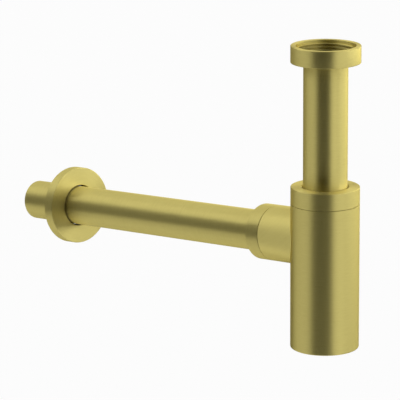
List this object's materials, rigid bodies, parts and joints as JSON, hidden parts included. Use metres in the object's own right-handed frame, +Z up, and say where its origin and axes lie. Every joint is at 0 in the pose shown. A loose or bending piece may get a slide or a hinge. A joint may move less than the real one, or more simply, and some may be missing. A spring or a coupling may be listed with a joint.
{
  "type": "basin trap",
  "caption": "Round bottle trap for a washbasin: a swivel nut and inlet tube above an upright bottle, and a straight outlet tube with a wall flange.",
  "frame": {"origin": "centre of the basin nut, where its thread begins, 2.4 mm below the nut's rim", "axes": "+Z up along the inlet tube to the basin, +Y horizontal towards the wall, in the plane of the outlet tube"},
  "size_m": [0.0594, 0.3403, 0.2219],
  "materials": {
    "brushed_brass": "brushed satin",
    "seal_rubber": "matt",
    "slip_plastic": "matt"
  },
  "bodies": {
    "basin_nut": {"basin_nut": "brushed_brass"},
    "inlet_tube": {"inlet_tube": "brushed_brass", "basin_washer": "seal_rubber"},
    "inlet_seal": {"inlet_seal": "seal_rubber"},
    "bottle": {"bottle": "brushed_brass"},
    "inlet_slip_ring": {"inlet_slip_ring": "slip_plastic"},
    "bottle_nut": {"bottle_nut": "brushed_brass"},
    "plug_ring": {"plug_ring": "seal_rubber"},
    "cleaning_plug": {"cleaning_plug": "brushed_brass"},
    "outlet_seal": {"outlet_seal": "seal_rubber"},
    "outlet_tube": {"outlet_tube": "brushed_brass"},
    "outlet_slip_ring": {"outlet_slip_ring": "slip_plastic"},
    "outlet_nut": {"outlet_nut": "brushed_brass"},
    "flange_ring": {"flange_ring": "seal_rubber"},
    "wall_flange": {"wall_flange": "brushed_brass"}
  },
  "joints": [
    {"name": "tube_swivel", "type": "hinge", "parent": "basin_nut", "child": "inlet_tube", "pos_m": [0, 0, 0], "axis": [0, 0, 1], "continuous": true},
    {"name": "height_slide", "type": "slide", "parent": "inlet_tube", "child": "inlet_seal", "axis": [0, 0, 1], "range_m": [-0.03, 0.0065]},
    {"name": "bottle_swivel", "type": "hinge", "parent": "inlet_seal", "child": "bottle", "pos_m": [0, 0, 0], "axis": [0, 0, 1], "continuous": true},
    {"name": "bottle_nut_lift", "type": "slide", "parent": "bottle", "child": "inlet_slip_ring", "axis": [0, 0, 1], "range_m": [0, 0.0061]},
    {"name": "bottle_nut_turn", "type": "hinge", "parent": "inlet_slip_ring", "child": "bottle_nut", "pos_m": [0, 0, 0], "axis": [0, 0, 1], "range_deg": [0, 1440]},
    {"name": "plug_drop", "type": "slide", "parent": "bottle", "child": "plug_ring", "axis": [0, 0, -1], "range_m": [0, 0.0046]},
    {"name": "plug_turn", "type": "hinge", "parent": "plug_ring", "child": "cleaning_plug", "pos_m": [0, 0, 0], "axis": [0, 0, -1], "range_deg": [0, 1080]},
    {"name": "outlet_swivel", "type": "hinge", "parent": "bottle", "child": "outlet_seal", "pos_m": [0, 0, -0.1395], "axis": [0, 0.9969, -0.0785], "continuous": true},
    {"name": "outlet_slide", "type": "slide", "parent": "outlet_seal", "child": "outlet_tube", "axis": [0, 0.9969, -0.0785], "range_m": [-0.0015, 0.01]},
    {"name": "outlet_nut_travel", "type": "slide", "parent": "bottle", "child": "outlet_slip_ring", "axis": [0, 0.9969, -0.0785], "range_m": [0, 0.0061]},
    {"name": "outlet_nut_turn", "type": "hinge", "parent": "outlet_slip_ring", "child": "outlet_nut", "pos_m": [0, 0, -0.1395], "axis": [0, 0.9969, -0.0785], "range_deg": [0, 1440]},
    {"name": "flange_slide", "type": "slide", "parent": "outlet_tube", "child": "flange_ring", "axis": [0, 0.9969, -0.0785], "range_m": [-0.195, 0.04]},
    {"name": "flange_turn", "type": "hinge", "parent": "flange_ring", "child": "wall_flange", "pos_m": [0, 0, -0.1395], "axis": [0, 0.9969, -0.0785], "continuous": true}
  ],
  "couplings": [
    {"joint": "bottle_nut_lift", "follows": "bottle_nut_turn", "m_per_rad": 0.00023873},
    {"joint": "plug_drop", "follows": "plug_turn", "m_per_rad": 0.00023873},
    {"joint": "outlet_nut_travel", "follows": "outlet_nut_turn", "m_per_rad": 0.00023873}
  ]
}
